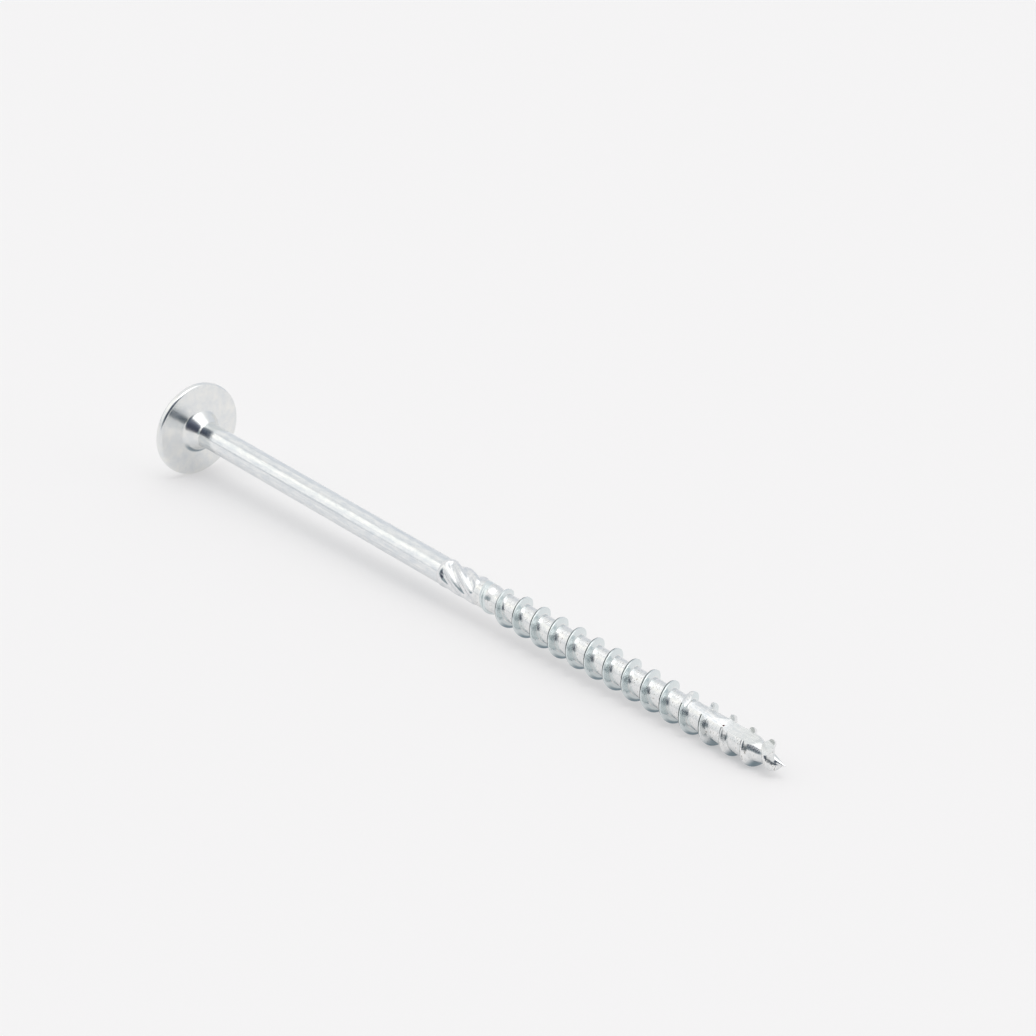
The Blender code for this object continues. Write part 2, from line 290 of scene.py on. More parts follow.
def bumpy(tree, shader, layers):
    """Adds bumps from layers of (pattern, depth in metres), each on top of the one before."""
    normal = None
    for pattern, depth in layers:
        bump = add(tree, "ShaderNodeBump", {"Strength": 1.0, "Distance": depth, "Height": pattern})
        if normal:
            tree.links.new(normal, bump.inputs["Normal"])
        normal = bump.outputs["Normal"]
    tree.links.new(normal, shader.inputs["Normal"])


def patch(tree, *limits):
    """Adds the share of a patch inside all its limits: (value, where it begins, where it is complete)."""
    share = None
    for value, begins, complete in limits:
        inside = add(tree, "ShaderNodeMapRange", {"Value": value, "From Min": begins, "From Max": complete},
                     interpolation_type="SMOOTHSTEP")
        share = add(tree, "ShaderNodeMath", {0: share, 1: inside}, operation="MULTIPLY") if share else inside
    return share


def bearings(tree, place):
    """Adds how far a spot lies along the screw and from its axis, and the sine of how it faces up."""
    spot = add(tree, "ShaderNodeVectorMath", {0: place, 1: (0.0, 1.0, 1.0)}, operation="MULTIPLY")
    radius = add(tree, "ShaderNodeVectorMath", {0: spot}, operation="LENGTH").outputs["Value"]
    parts = add(tree, "ShaderNodeSeparateXYZ", {0: place}).outputs
    upward = add(tree, "ShaderNodeMath", {0: parts["Z"], 1: radius}, operation="DIVIDE")
    return parts["X"], radius, upward


def past_crest(tree, place):
    """Adds how far along the screw a spot lies past the middle of the nearest thread crest."""
    spot = add(tree, "ShaderNodeSeparateXYZ", {0: place}).outputs
    angle = add(tree, "ShaderNodeMath", {0: spot["Z"], 1: spot["Y"]}, operation="ARCTAN2")
    along = add(tree, "ShaderNodeMath", {0: spot["X"], 1: THREAD_START}, operation="SUBTRACT")
    turned = add(tree, "ShaderNodeMath", {0: angle, 1: THREAD_ANGLE}, operation="SUBTRACT")
    lag = add(tree, "ShaderNodeMath", {0: turned, 1: -PITCH / (2 * math.pi), 2: along},
              operation="MULTIPLY_ADD")
    return add(tree, "ShaderNodeMath", {0: lag, 1: PITCH / 2, 2: -PITCH / 2}, operation="WRAP")


def drawn_shank_zinc(pose):
    """Bright zinc on drawn wire: satin, with soft drawing lines and streaks, and painted shade low on its
    sides.
    """
    material, tree, shader, place = steel("bright_zinc_on_drawn_wire", pose, "#E5E7E8", 0.14)
    _, _, upward = bearings(tree, place)
    # Real drawing lines are some 0.03 mm wide, and drawn ten times as wide to show
    lines = cloudy(tree, place, 0.3 * MM, 40.0)
    streaks = cloudy(tree, place, 0.5 * MM, 60.0, 1.0)
    clouds = cloudy(tree, place, 0.9 * MM, 3.0, 4.0)
    grit = cloudy(tree, place, 0.3 * MM, 2.5, 2.0)
    tinted(tree, shader, clouds, "#DCE1E5", "#F3F4F3")
    stained(tree, shader, patch(tree, (streaks, 0.55, 0.8)), "#DCE0E3")
    # Painted shade: a darker band low on the shank's sides, standing for the shadow under the screw mirrored
    # in the zinc
    stained(tree, shader, patch(tree, (upward, *SHANK_SHADE_UNDERSIDE)), "#B4BFC5")
    satin(tree, shader, clouds, 0.15, 0.09)
    bumpy(tree, shader, ((lines, 0.016 * MM), (grit, 0.008 * MM)))
    return material


def forged_head_zinc(pose):
    """Bright zinc on a cold-forged head: smooth, with faint flow marks and painted shade low in the neck's
    foot.
    """
    material, tree, shader, place = steel("bright_zinc_on_forged_head", pose, "#E5E7E8", 0.14)
    along, radius, upward = bearings(tree, place)
    clouds = cloudy(tree, place, 2.5 * MM, 1.0, 4.0)
    grit = cloudy(tree, place, 0.4 * MM)
    past_foot = add(tree, "ShaderNodeMath", {0: radius, 1: NECK_SHADE_RADIUS}, operation="SUBTRACT")
    off_foot = add(tree, "ShaderNodeMath", {0: past_foot}, operation="ABSOLUTE")
    # Painted shade low in the neck's foot, standing for the shadow under the head mirrored in the zinc
    painted_shade = patch(tree, (upward, *NECK_SHADE_UNDERSIDE), (off_foot, *NECK_SHADE_WIDTH), (along, *NECK_SHADE_START))
    tinted(tree, shader, clouds, "#E2E5E7", "#F0F0ED")
    stained(tree, shader, painted_shade, "#97A4AC")
    satin(tree, shader, clouds, 0.24, 0.15)
    bumpy(tree, shader, ((grit, 0.008 * MM),))
    return material


def rolled_cutter_zinc(pose):
    """Bright zinc on the rolled shank cutter: mirror-like groove floors with soft dull clouds."""
    material, tree, shader, place = steel("bright_zinc_on_rolled_cutter", pose, "#E5E7E8", 0.12)
    clouds = cloudy(tree, place, 1.2 * MM, 1.0, 4.0)
    grit = cloudy(tree, place, 0.4 * MM)
    tinted(tree, shader, clouds, "#D9DDE0", "#F0F0F0")
    satin(tree, shader, clouds, 0.18, 0.1)
    bumpy(tree, shader, ((clouds, 0.02 * MM), (grit, 0.02 * MM)))
    return material


def rolled_thread_zinc(pose):
    """Bright zinc on the rolled thread: specked roots, bluish-grey flanks, painted shade low on the turns and
    a ragged line of painted shade behind each crest.
    """
    material, tree, shader, place = steel("bright_zinc_on_rolled_thread", pose, "#E5E7E8", 0.12)
    along, radius, upward = bearings(tree, place)
    clouds = cloudy(tree, place, 1.2 * MM, 1.0, 4.0)
    grit = cloudy(tree, place, 0.5 * MM, 0.5)
    # Flanks and the painted shade in the laps run beside each crest, the flanks only on the straight part
    across = past_crest(tree, place)
    aside = add(tree, "ShaderNodeMath", {0: across}, operation="ABSOLUTE")
    flank = patch(tree, (radius, *FLANK_HEIGHT), (aside, *FLANK_REACH), (along, *TAPER_ZONE[::-1]))
    ragged = add(tree, "ShaderNodeMath", {0: clouds, 1: LAP_SHADE_RAGGEDNESS, 2: across}, operation="MULTIPLY_ADD")
    lap_shade = patch(tree, (ragged, *LAP_SHADE_FRONT), (ragged, *LAP_SHADE_REAR), (radius, *LAP_SHADE_HEIGHT))
    # Painted shade lies low on the rims of the turns, and all round the tapering part, standing for the
    # shadow under the screw mirrored in the zinc
    shade_places = add(tree, "ShaderNodeMath", {0: patch(tree, (radius, *RIM_HEIGHT)),
                                          1: patch(tree, (along, *TAPER_ZONE))}, operation="MAXIMUM")
    low = patch(tree, (upward, *THREAD_SHADE_UNDERSIDE), (along, *THREAD_SHADE_END))
    painted_shade = add(tree, "ShaderNodeMath", {0: low, 1: shade_places}, operation="MULTIPLY")
    tinted(tree, shader, clouds, "#DDE0E1", "#F2F2F1")
    # Specks gather where the clouds are pale
    stained(tree, shader, patch(tree, (grit, 0.55, 0.7), (clouds, 0.42, 0.6)), "#9F9E98")
    stained(tree, shader, flank, "#DFE6E7")
    # Painted shade low on the rims of the turns and round the point
    stained(tree, shader, painted_shade, "#8E9EA6")
    # Painted shade: a ragged dark line in the lap behind each crest
    stained(tree, shader, lap_shade, "#4C5556")
    satin(tree, shader, clouds, 0.18, 0.09)
    bumpy(tree, shader, ((clouds, 0.03 * MM), (grit, 0.03 * MM)))
    return material


def milled_notch_zinc(pose):
    """Zinc on the milled notch: bright at its rear, greyer in front, with fine marks along it."""
    material, tree, shader, place = steel("satin_zinc_on_milled_notch", pose, "#E0E0DD", 0.3)
    along, _, _ = bearings(tree, place)
    clouds = cloudy(tree, place, 0.8 * MM, 1.0, 4.0)
    # Real milling marks are some 0.1 mm wide, and drawn wider to show
    marks = cloudy(tree, place, 0.35 * MM, 6.0)
    patchy = add(tree, "ShaderNodeMix", {"Factor_Float": 0.5, "A_Float": clouds, "B_Float": marks})
    tinted(tree, shader, patchy.outputs[0], "#CFD4D8", "#F8F8F6", (0.38, 0.62))
    front = add(tree, "ShaderNodeMath", {0: patch(tree, (along, *NOTCH_FRONT)), 1: NOTCH_FRONT_GREYING},
                operation="MULTIPLY")
    stained(tree, shader, front, "#D8DAD8")
    speck = add(tree, "ShaderNodeVectorMath", {0: place, 1: RUST_SPECK}, operation="DISTANCE")
    stained(tree, shader, patch(tree, (speck.outputs["Value"], *RUST_RADIUS)), "#4A1A14")
    satin(tree, shader, clouds, 0.36, 0.22)
    bumpy(tree, shader, ((clouds, 0.03 * MM), (marks, 0.03 * MM)))
    return material


# Shapes turned from an outline

def rounded(corners):
    """Turns corners (x, radius, rounding) into an outline, with an arc wherever rounding is asked for."""
    outline = [corners[0][:2]]
    for previous, (x, radius, rounding), following in zip(corners, corners[1:], corners[2:]):
        if rounding == 0.0:
            outline.append((x, radius))
            continue
        corner = Vector((x, radius))
        before = (Vector(previous[:2]) - corner).normalized()
        after = (Vector(following[:2]) - corner).normalized()
        half = before.angle(after) / 2
        centre = corner + (before + after).normalized() * rounding / math.sin(half)
        first = (corner + before * rounding / math.tan(half) - centre).normalized()
        last = (corner + after * rounding / math.tan(half) - centre).normalized()
        for step in range(ARC_STEPS + 1):
            outline.append(tuple(centre + rounding * first.slerp(last, step / ARC_STEPS)))
    outline.append(corners[-1][:2])
    return outline


def head_outline():
    """Returns the outline from beside the crown's middle, round the flange and neck, to the shank's end."""
    top = -FLANGE_THICKNESS - CROWN_HEIGHT
    ball = (CROWN_RADIUS ** 2 + CROWN_HEIGHT ** 2) / (2 * CROWN_HEIGHT)
    reach = math.asin(CROWN_RADIUS / ball)
    crown = []
    for step in range(1, CROWN_STEPS):
        swing = reach * step / CROWN_STEPS
        crown.append((top + ball * (1 - math.cos(swing)), ball * math.sin(swing)))
    return crown[:-1] + rounded([
        crown[-1] + (0.0,),
        (-FLANGE_THICKNESS, CROWN_RADIUS, CROWN_FOOT_ROUNDING),
        (-FLANGE_THICKNESS, HEAD_RADIUS, TOP_EDGE_RADIUS),
        (0.0, HEAD_RADIUS, UNDER_EDGE_RADIUS),
        (0.0, BEARING_INNER_RADIUS, 0.0),
        (UNDERSIDE_RISE, NECK_RADIUS, NECK_FOOT_ROUNDING),
        (UNDERSIDE_RISE + NECK_LENGTH, SHANK_RADIUS, NECK_FILLET),
        (CUTTER_START, SHANK_RADIUS, 0.0),
    ])


def turned_head(head_material, shank_material):
    """Turns the head, neck and plain shank about the axis."""
    bm = bmesh.new()
    ring = [bm.verts.new((-FLANGE_THICKNESS - CROWN_HEIGHT, 0.0, 0.0))] * SIDES
    angles = [FIRST_COLUMN + column * COLUMN for column in range(SIDES)]
    for x, radius in head_outline():
        following = [bm.verts.new((x, radius * math.cos(a), radius * math.sin(a))) for a in angles]
        for column in range(SIDES):
            onward = (column + 1) % SIDES
            # Beside the crown's middle the face has only three corners
            face = bm.faces.new(dict.fromkeys(
                (ring[column], ring[onward], following[onward], following[column])))
            face.material_index = 1 if x > DRAWN_START else 0
        ring = following
    mesh = written("turned_head", bm)
    mesh.materials.append(head_material)
    mesh.materials.append(shank_material)
    return mesh


# Shapes that follow a rule, made with Geometry Nodes

def start_tree(name, sizes):
    """Starts a Geometry Nodes tree with a named input for each size and returns it with its inputs."""
    tree = bpy.data.node_groups.new(name, "GeometryNodeTree")
    for size in sizes:
        tree.interface.new_socket(size, in_out="INPUT", socket_type="NodeSocketFloat")
    tree.interface.new_socket("Geometry", in_out="OUTPUT", socket_type="NodeSocketGeometry")
    return tree, add(tree, "NodeGroupInput").outputs


def end_tree(tree, geometry, material):
    """Ends a tree: merges the seams, makes everything real and gives it its material."""
    merged = add(tree, "GeometryNodeMergeByDistance", {"Geometry": geometry, "Distance": WELD})
    real = add(tree, "GeometryNodeRealizeInstances", {"Geometry": merged})
    dressed = add(tree, "GeometryNodeSetMaterial", {"Geometry": real, "Material": material})
    add(tree, "NodeGroupOutput", {"Geometry": dressed})


def grown(tree, sizes):
    """Runs a tree with these sizes on an empty object and returns the plain mesh that it makes."""
    holder = placed(bpy.data.objects.new(tree.name, bpy.data.meshes.new(tree.name)))
    modifier = holder.modifiers.new(tree.name, "NODES")
    modifier.node_group = tree
    for socket in tree.interface.items_tree:
        if socket.in_out == "INPUT":
            modifier[socket.identifier] = sizes[socket.name]
    evaluated = holder.evaluated_get(bpy.context.evaluated_depsgraph_get())
    mesh = bpy.data.meshes.new_from_object(evaluated)
    holder.modifiers.clear()
    bpy.data.objects.remove(holder)
    return mesh


def wound(tree, grid, x, radius, angle):
    """Moves a grid's points to their places along and around the screw."""
    y, z = [add(tree, "ShaderNodeMath",
                {0: radius, 1: add(tree, "ShaderNodeMath", {0: angle}, operation=turning)},
                operation="MULTIPLY") for turning in ("COSINE", "SINE")]
    return add(tree, "GeometryNodeSetPosition",
               {"Geometry": grid, "Position": add(tree, "ShaderNodeCombineXYZ", {"X": x, "Y": y, "Z": z})})


def shank_cutter(material):
    """Makes the shank cutter: a step up from the shank and six twisted grooves that end at the collar."""
    length = CUTTER_END - CUTTER_START
    sizes = {
        "Start": CUTTER_START, "Length": length, "Shoulder": CUTTER_SHOULDER,
        "Shank radius": SHANK_RADIUS, "Cutter radius": CUTTER_RADIUS, "Collar radius": COLLAR_RADIUS,
        "Groove depth": GROOVE_DEPTH, "Groove lead": GROOVE_LEAD, "Groove run-in": GROOVE_RUN_IN,
        "Groove count": float(GROOVE_COUNT), "Rib top": RIB_TOP, "Groove floor": GROOVE_FLOOR,
        "Floor rise": FLOOR_RISE, "Groove angle": GROOVE_ANGLE, "First column": FIRST_COLUMN,
        "Column twist": COLUMN * round(2 * math.pi * length / GROOVE_LEAD / COLUMN),
    }
    tree, given = start_tree("shank_cutter", sizes)
    grid = add(tree, "GeometryNodeMeshGrid", {"Size X": 2 * math.pi, "Size Y": 1.0,
                                              "Vertices X": SIDES + 1, "Vertices Y": CUTTER_ROWS + 1})
    spot = add(tree, "ShaderNodeSeparateXYZ", {0: add(tree, "GeometryNodeInputPosition")}).outputs
    turned = add(tree, "ShaderNodeMath", {0: spot["X"], 1: math.pi}, operation="ADD")
    straight = add(tree, "ShaderNodeMath", {0: turned, 1: given["First column"]}, operation="ADD")
    share = add(tree, "ShaderNodeMath", {0: spot["Y"], 1: 0.5}, operation="ADD")
    # The columns twist with the ribs, so that these stay smooth, by a whole number of columns
    angle = add(tree, "ShaderNodeMath", {0: share, 1: given["Column twist"], 2: straight},
                operation="MULTIPLY_ADD")
    along = add(tree, "ShaderNodeMath", {0: share, 1: given["Length"]}, operation="MULTIPLY")
    x = add(tree, "ShaderNodeMath", {0: along, 1: given["Start"]}, operation="ADD")
    body = add(tree, "ShaderNodeMapRange",
               {"Value": along, "From Min": 0.0, "From Max": given["Shoulder"],
                "To Min": given["Shank radius"], "To Max": given["Cutter radius"]},
               interpolation_type="SMOOTHSTEP")
    turns = add(tree, "ShaderNodeMath", {0: along, 1: given["Groove lead"]}, operation="DIVIDE")
    twist = add(tree, "ShaderNodeMath", {0: turns, 1: 2 * math.pi}, operation="MULTIPLY")
    untwisted = add(tree, "ShaderNodeMath", {0: angle, 1: twist}, operation="SUBTRACT")
    past_groove = add(tree, "ShaderNodeMath", {0: untwisted, 1: given["Groove angle"]}, operation="SUBTRACT")
    phase = add(tree, "ShaderNodeMath", {0: past_groove, 1: given["Groove count"]}, operation="MULTIPLY")
    wave = add(tree, "ShaderNodeMath", {0: phase}, operation="COSINE")
    hollow = add(tree, "ShaderNodeMapRange",
                 {"Value": wave, "From Min": given["Rib top"], "From Max": given["Groove floor"]})
    deep = add(tree, "ShaderNodeMath", {0: given["Shoulder"], 1: given["Groove run-in"]}, operation="ADD")
    depth = add(tree, "ShaderNodeMapRange",
                {"Value": along, "From Min": given["Shoulder"], "From Max": deep,
                 "To Min": 0.0, "To Max": given["Groove depth"]}, interpolation_type="SMOOTHSTEP")
    # A groove's floor is flat, so it rises towards both sides of the groove
    rise = add(tree, "ShaderNodeMath", {0: wave, 1: 1.0}, operation="SUBTRACT")
    flat = add(tree, "ShaderNodeMath", {0: rise, 1: given["Floor rise"], 2: 1.0}, operation="MULTIPLY_ADD")
    flat_depth = add(tree, "ShaderNodeMath", {0: flat, 1: depth}, operation="MULTIPLY")
    cut_away = add(tree, "ShaderNodeMath", {0: hollow, 1: flat_depth}, operation="MULTIPLY")
    ribbed = add(tree, "ShaderNodeMath", {0: body, 1: cut_away}, operation="SUBTRACT")
    last = add(tree, "ShaderNodeMath", {0: given["Length"], 1: given["Shoulder"]}, operation="SUBTRACT")
    radius = add(tree, "ShaderNodeMapRange",
                 {"Value": along, "From Min": last, "From Max": given["Length"],
                  "To Min": ribbed, "To Max": given["Collar radius"]}, interpolation_type="SMOOTHSTEP")
    end_tree(tree, wound(tree, grid, x, radius, angle), material)
    return grown(tree, sizes)


def coarse_thread(material):
    """Makes the threaded end: a strip one pitch wide is wound to the point and raised into the ridge."""
    start_angle = THREAD_ANGLE - 2 * math.pi * (THREAD_START - CUTTER_END + PITCH / 2) / PITCH
    first = FIRST_COLUMN + COLUMN * math.floor((start_angle - FIRST_COLUMN) / COLUMN)
    steps = math.ceil(2 * math.pi * (SCREW_LENGTH - CUTTER_END + STRIP_OVERRUN) / PITCH / COLUMN)
    sizes = {
        "Thread start": THREAD_START, "Core start": CUTTER_END, "Screw length": SCREW_LENGTH,
        "Pitch": PITCH, "Thread angle": THREAD_ANGLE, "First angle": first, "Crest width": CREST_WIDTH,
        "Core radius": CORE_RADIUS, "Thread radius": THREAD_RADIUS, "Shoulder radius": SHOULDER_RADIUS,
        "Last turn radius": LAST_TURN_RADIUS, "Run-out end": THREAD_START + RUN_OUT,
        "Taper start": SCREW_LENGTH - TAPER_LENGTH, "Shoulder place": SCREW_LENGTH - SHOULDER_DISTANCE,
        "Last turn place": SCREW_LENGTH - LAST_TURN_DISTANCE,
        "Thread end": SCREW_LENGTH - THREAD_END_DISTANCE,
        "Point start": SCREW_LENGTH - POINT_LENGTH, "Flank slope": math.tan(FLANK_ANGLE),
        "Point flank slope": math.tan(POINT_FLANK_ANGLE), "Crest rounding": CREST_ROUNDING,
        "Crest shift": CREST_SHIFT, "Crest lean": math.tan(CREST_LEAN),
        "Root rounding": ROOT_ROUNDING, "Collar radius": COLLAR_RADIUS, "Collar end": COLLAR_END,
        "Collar fall end": COLLAR_END + COLLAR_FALL,
    }
    tree, given = start_tree("coarse_thread", sizes)
    grid = add(tree, "GeometryNodeMeshGrid",
               {"Size X": steps * COLUMN, "Size Y": 2.0,
                "Vertices X": steps + 1, "Vertices Y": ROWS_ACROSS_PITCH + 1})
    spot = add(tree, "ShaderNodeSeparateXYZ", {0: add(tree, "GeometryNodeInputPosition")}).outputs
    turned = add(tree, "ShaderNodeMath", {0: spot["X"], 1: steps * COLUMN / 2}, operation="ADD")
    angle = add(tree, "ShaderNodeMath", {0: turned, 1: given["First angle"]}, operation="ADD")
    past_start = add(tree, "ShaderNodeMath", {0: angle, 1: given["Thread angle"]}, operation="SUBTRACT")
    turns = add(tree, "ShaderNodeMath", {0: past_start, 1: 2 * math.pi}, operation="DIVIDE")
    middle = add(tree, "ShaderNodeMath", {0: turns, 1: given["Pitch"], 2: given["Thread start"]},
                 operation="MULTIPLY_ADD")
    # The rows lie closer together near the crest than in the root
    size = add(tree, "ShaderNodeMath", {0: spot["Y"]}, operation="ABSOLUTE")
    stretch = add(tree, "ShaderNodeMath", {0: size, 1: ROW_CROWDING, 2: 1 - ROW_CROWDING},
                  operation="MULTIPLY_ADD")
    aside = add(tree, "ShaderNodeMath", {0: spot["Y"], 1: stretch}, operation="MULTIPLY")
    half_pitch = add(tree, "ShaderNodeMath", {0: given["Pitch"], 1: 0.5}, operation="MULTIPLY")
    across = add(tree, "ShaderNodeMath", {0: aside, 1: half_pitch}, operation="MULTIPLY")
    free_x = add(tree, "ShaderNodeMath", {0: middle, 1: across}, operation="ADD")
    x = add(tree, "ShaderNodeClamp",
            {"Value": free_x, "Min": given["Core start"], "Max": given["Screw length"]})
    # The collar falls to the core, which keeps its radius up to the point's cone
    cores = []
    for place in (x, middle):
        plain = add(tree, "ShaderNodeMapRange",
                    {"Value": place, "From Min": given["Collar end"], "From Max": given["Collar fall end"],
                     "To Min": given["Collar radius"], "To Max": given["Core radius"]},
                    interpolation_type="SMOOTHSTEP")
        cores.append(add(tree, "ShaderNodeMapRange",
                         {"Value": place, "From Min": given["Point start"],
                          "From Max": given["Screw length"], "To Min": plain, "To Max": 0.0}))
    core, core_below = cores
    # The crest rises out of the core, holds its height, tapers in three stretches and ends in the core
    crest = core_below
    for from_place, to_place, to_radius in (
            ("Thread start", "Run-out end", given["Thread radius"]),
            ("Taper start", "Shoulder place", given["Shoulder radius"]),
            ("Shoulder place", "Last turn place", given["Last turn radius"]),
            ("Last turn place", "Thread end", core_below)):
        crest = add(tree, "ShaderNodeMapRange",
                    {"Value": middle, "From Min": given[from_place], "From Max": given[to_place],
                     "To Min": crest, "To Max": to_radius})
    height = add(tree, "ShaderNodeMath", {0: crest, 1: core_below}, operation="SUBTRACT")
    slope = add(tree, "ShaderNodeMapRange",
                {"Value": middle, "From Min": given["Taper start"], "From Max": given["Shoulder place"],
                 "To Min": given["Flank slope"], "To Max": given["Point flank slope"]})
    # The crest's rear half leans back
    shifted = add(tree, "ShaderNodeMath", {0: across, 1: given["Crest shift"]}, operation="ADD")
    off_crest = add(tree, "ShaderNodeMath", {0: shifted}, operation="ABSOLUTE")
    behind = add(tree, "ShaderNodeMath", {0: shifted, 1: 0.0}, operation="MINIMUM")
    leaning = add(tree, "ShaderNodeMath", {0: behind, 1: given["Crest lean"], 2: height},
                  operation="MULTIPLY_ADD")
    half_crest = add(tree, "ShaderNodeMath", {0: given["Crest width"], 1: 0.5}, operation="MULTIPLY")
    inside = add(tree, "ShaderNodeMath", {0: half_crest, 1: off_crest}, operation="SUBTRACT")
    fall = add(tree, "ShaderNodeMath", {0: inside, 1: slope}, operation="DIVIDE")
    flank = add(tree, "ShaderNodeMath", {0: height, 1: fall}, operation="ADD")
    # Both roundings shrink with a low ridge, so that it fades into the core
    crest_rounding, root_rounding = [
        add(tree, "ShaderNodeMath", {0: given[rounding], 1: height}, operation="MINIMUM")
        for rounding in ("Crest rounding", "Root rounding")]
    top = add(tree, "ShaderNodeMath", {0: flank, 1: leaning, 2: crest_rounding}, operation="SMOOTH_MIN")
    ridge = add(tree, "ShaderNodeMath", {0: top, 1: 0.0, 2: root_rounding}, operation="SMOOTH_MAX")
    radius = add(tree, "ShaderNodeMath", {0: core, 1: ridge}, operation="ADD")
    end_tree(tree, wound(tree, grid, x, radius, angle), material)
    return grown(tree, sizes)


# What is cut out

def prism(outlines):
    """Makes a closed body that runs through outlines with equal numbers of points."""
    bm = bmesh.new()
    rings = [[bm.verts.new(point) for point in outline] for outline in outlines]
    for ring, following in zip(rings, rings[1:]):
        for here, onward in zip(range(len(ring)), list(range(1, len(ring))) + [0]):
            bm.faces.new((ring[here], ring[onward], following[onward], following[here]))
    bm.faces.new(rings[0])
    floor = bm.faces.new(rings[-1])
    return bm, floor


def finished_tool(name, bm, material):
    """Makes a cutting tool's object of its bmesh, with the finish that it leaves behind."""
    bmesh.ops.recalc_face_normals(bm, faces=bm.faces)
    mesh = written(name, bm)
    mesh.materials.append(material)
    return placed(bpy.data.objects.new(name, mesh))


def six_lobe_outline(scale):
    """Returns the recess's outline as (y, z) pairs: round lobes with hollow ridges tangent to them."""
    lobe_centre = RECESS_ACROSS_LOBES / 2 - RECESS_LOBE_RADIUS
    ridge = RECESS_ACROSS_RIDGES / 2
    spread = math.pi / LOBES
    leg = lobe_centre * math.cos(spread)
    ridge_radius = ((lobe_centre ** 2 - RECESS_LOBE_RADIUS ** 2 + ridge ** 2 - 2 * ridge * leg)
                    / (2 * (RECESS_LOBE_RADIUS + leg - ridge)))
    ridge_centre = ridge + ridge_radius
    lean = math.atan2(ridge_centre * math.sin(spread), ridge_centre * math.cos(spread) - lobe_centre)
    outline = []
    for lobe in range(LOBES):
        out = 2 * spread * lobe
        facing = out + spread
        for turn in np.linspace(-lean, lean, 2 * ARC_STEPS + 1):
            outline.append((lobe_centre * math.cos(out) + RECESS_LOBE_RADIUS * math.cos(out + turn),
                            lobe_centre * math.sin(out) + RECESS_LOBE_RADIUS * math.sin(out + turn)))
        for turn in np.linspace(lean - spread, spread - lean, ARC_STEPS + 1)[1:-1]:
            outline.append((ridge_centre * math.cos(facing) - ridge_radius * math.cos(facing + turn),
                            ridge_centre * math.sin(facing) - ridge_radius * math.sin(facing + turn)))
    return [(scale * y, scale * z) for y, z in outline]


def recess_tool(material):
    """Makes the six-lobe punch, with a chamfered mouth and a coned floor."""
    top = -FLANGE_THICKNESS - CROWN_HEIGHT
    flare = 2 * RECESS_CHAMFER
    wide = (RECESS_ACROSS_LOBES + 2 * flare) / RECESS_ACROSS_LOBES
    mouth = top + RECESS_CHAMFER
    levels = ((mouth - flare, wide), (mouth, 1.0), (top + RECESS_DEPTH, 1.0))
    bm, floor = prism([[(x, y, z) for y, z in six_lobe_outline(scale)] for x, scale in levels])
    bmesh.ops.poke(bm, faces=[floor])["verts"][0].co.x += RECESS_FLOOR_DROP
    return finished_tool("recess_tool", bm, material)


def notch_tool(material):
    """Makes the bar that mills the notch: its floor deepens forwards and curves up at its rear."""
    reach = 2 * THREAD_RADIUS
    end = SCREW_LENGTH + reach
    start = SCREW_LENGTH - NOTCH_LENGTH
    full_swing = math.acos(max(0.0, 1 - (reach - NOTCH_FLOOR_HEIGHT) / NOTCH_RUN_OUT_RADIUS))
    side = [(end, reach)]
    for swing in np.linspace(full_swing, 0.0, 2 * ARC_STEPS + 1):
        side.append((start - NOTCH_RUN_OUT_RADIUS * math.sin(swing),
                     NOTCH_FLOOR_HEIGHT + NOTCH_RUN_OUT_RADIUS * (1 - math.cos(swing))))
    side.append((end, NOTCH_FLOOR_HEIGHT - (end - start) * math.tan(NOTCH_SLOPE)))
    up = Vector((0.0, math.cos(NOTCH_ANGLE), math.sin(NOTCH_ANGLE)))
    sideways = Vector((0.0, -math.sin(NOTCH_ANGLE), math.cos(NOTCH_ANGLE)))
    outlines = [[Vector((x, 0, 0)) + up * height + sideways * edge for x, height in side]
                for edge in (-NOTCH_WIDTH / 2, NOTCH_WIDTH / 2)]
    bm, _ = prism(outlines)
    return finished_tool("notch_tool", bm, material)


# The whole screw

def joined(name, meshes):
    """Joins meshes into one object, welds their seams and keeps the finish of each face."""
    bm = bmesh.new()
    finishes = []
    for part in meshes:
        start = len(bm.faces)
        bm.from_mesh(part)
        bm.faces.ensure_lookup_table()
        for face in bm.faces[start:]:
            finish = part.materials[face.material_index]
            if finish not in finishes:
                finishes.append(finish)
            face.material_index = finishes.index(finish)
    bmesh.ops.remove_doubles(bm, verts=bm.verts, dist=WELD)
    # The slivers at the point's very tip become one corner
    bmesh.ops.pointmerge(bm, verts=[vert for vert in bm.verts if vert.co.x > SCREW_LENGTH - TIP_WELD],
                         merge_co=(SCREW_LENGTH, 0.0, 0.0))
    bmesh.ops.recalc_face_normals(bm, faces=bm.faces)
    mesh = written(name, bm)
    for finish in finishes:
        mesh.materials.append(finish)
    return placed(bpy.data.objects.new(name, mesh))


def cut(obj, tools):
    """Cuts the tools out of the object, and leaves each tool's finish on what it cut."""
    for tool in tools:
        modifier = obj.modifiers.new(tool.name, "BOOLEAN")
        modifier.operation = "DIFFERENCE"
        modifier.solver = "EXACT"
        modifier.material_mode = "TRANSFER"
        modifier.object = tool
    evaluated = obj.evaluated_get(bpy.context.evaluated_depsgraph_get())
    mesh = bpy.data.meshes.new_from_object(evaluated)
    obj.modifiers.clear()
    obj.data = mesh
    for tool in tools:
        bpy.data.objects.remove(tool)


def screw_pose(record):
    """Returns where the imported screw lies, from the mount under its head."""
    mount = record["mounts"][0]
    axis = Vector(mount["axis"]).normalized()
    up = Vector((-axis.z, 0.0, axis.x))
    place = Vector(mount["pos_m"]) - MOUNT_HEIGHT * up
    turn = Matrix((axis, (0.0, 1.0, 0.0), up)).transposed().to_4x4()
    return Matrix.Translation(place) @ turn


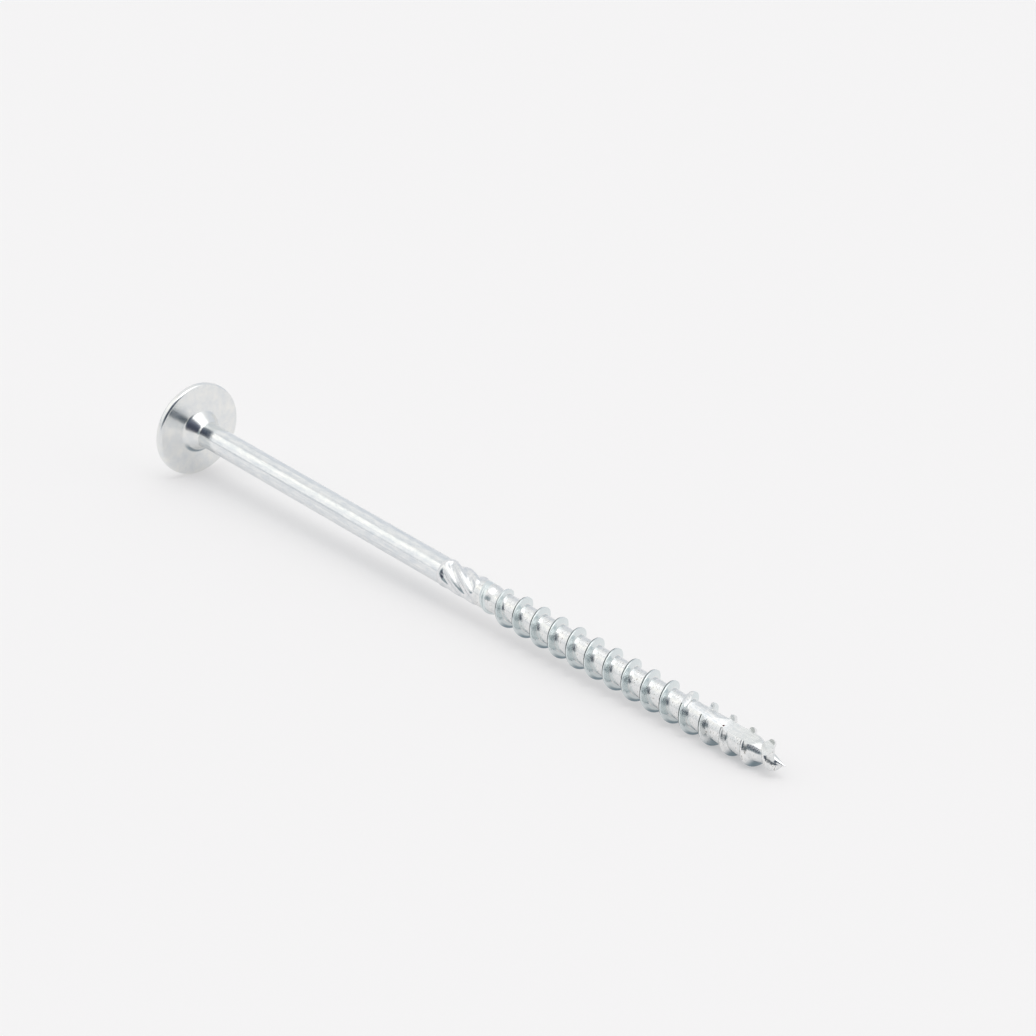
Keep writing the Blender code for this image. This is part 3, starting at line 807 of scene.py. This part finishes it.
def construction_screw():
    """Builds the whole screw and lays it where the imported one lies."""
    pose = screw_pose(frame["record"])
    forged = forged_head_zinc(pose)
    head = turned_head(forged, drawn_shank_zinc(pose))
    screw = joined("zinc_plated_screw", [head, shank_cutter(rolled_cutter_zinc(pose)),
                                          coarse_thread(rolled_thread_zinc(pose))])
    cut(screw, [recess_tool(forged), notch_tool(milled_notch_zinc(pose))])
    screw.data.transform(pose)
    screw.data.shade_smooth()
    screw.data.set_sharp_from_angle(angle=SHARP_ANGLE)
    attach(screw, "root")
    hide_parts("construction_screw")


# Surroundings

def direction(azimuth, elevation):
    """Returns the unit vector to a place in the studio, from +X towards +Y and up."""
    a, e = math.radians(azimuth), math.radians(elevation)
    return Vector((math.cos(a) * math.cos(e), math.sin(a) * math.cos(e), math.sin(e)))


def studio():
    """Lights the scene with a pale studio: white walls, a bright ceiling with a lamp, and darker places."""
    world = bpy.data.worlds.new("pale_studio")
    world.use_nodes = True
    bpy.context.scene.world = world
    tree = world.node_tree
    facing = add(tree, "ShaderNodeTexCoord").outputs["Generated"]
    colour = [WALL_STRENGTH * part for part in hex_colour("#FFFFFF")]
    for azimuth, elevation, core, edge, tint, strength in STUDIO:
        near = add(tree, "ShaderNodeVectorMath", {0: facing, 1: direction(azimuth, elevation)},
                   operation="DOT_PRODUCT")
        share = add(tree, "ShaderNodeMapRange",
                    {"Value": near.outputs["Value"], "From Min": math.cos(math.radians(edge)),
                     "From Max": math.cos(math.radians(core))}, interpolation_type="SMOOTHSTEP")
        lobe = [strength * part for part in hex_colour(tint)]
        colour = add(tree, "ShaderNodeMix", {"Factor_Float": share, "A_Color": colour, "B_Color": lobe},
                     data_type="RGBA")
    tree.links.new(colour.outputs[2], tree.nodes["Background"].inputs["Color"])


def table_top():
    """Lays a wide pale sheet of matt card under the screw."""
    bm = bmesh.new()
    bmesh.ops.create_grid(bm, x_segments=1, y_segments=1, size=CARD_REACH)
    mesh = written("table_top", bm)
    floor = placed(bpy.data.objects.new("table_top", mesh))
    material = bpy.data.materials.new("matt_white_card")
    material.use_nodes = True
    tree = material.node_tree
    shader = tree.nodes["Principled BSDF"]
    shader.inputs["Base Color"].default_value = hex_colour("#EDECEC")
    shader.inputs["Roughness"].default_value = 0.9
    shader.inputs["Specular IOR Level"].default_value = 0.2
    path = add(tree, "ShaderNodeLightPath").outputs
    mirrored = add(tree, "ShaderNodeMath", {0: path["Is Glossy Ray"], 1: CARD_IN_MIRROR},
                   operation="MULTIPLY")
    seen = add(tree, "ShaderNodeMath", {0: path["Is Camera Ray"], 1: mirrored}, operation="MAXIMUM")
    share = add(tree, "ShaderNodeMath", {0: seen, 1: CARD_GLOW}, operation="MULTIPLY")
    glow = add(tree, "ShaderNodeEmission", {"Color": hex_colour("#F8F7F7")})
    both = add(tree, "ShaderNodeMixShader", {0: share, 1: shader, 2: glow})
    tree.links.new(both.outputs[0], tree.nodes["Material Output"].inputs["Surface"])
    mesh.materials.append(material)


def camera():
    """Places the camera at the photograph's viewing angle."""
    data = bpy.data.cameras.new("camera")
    data.lens = LENS
    data.sensor_width = SENSOR
    obj = placed(bpy.data.objects.new("camera", data))
    right = CAMERA_FORWARD.cross(CAMERA_UP).normalized()
    up = right.cross(CAMERA_FORWARD).normalized()
    turn = Matrix((right, up, -CAMERA_FORWARD.normalized())).transposed().to_4x4()
    obj.matrix_world = Matrix.Translation(CAMERA_PLACE) @ turn
    bpy.context.scene.camera = obj


construction_screw()
studio()
table_top()
camera()
bpy.context.scene.view_settings.view_transform = "Standard"
bpy.context.view_layer.update()
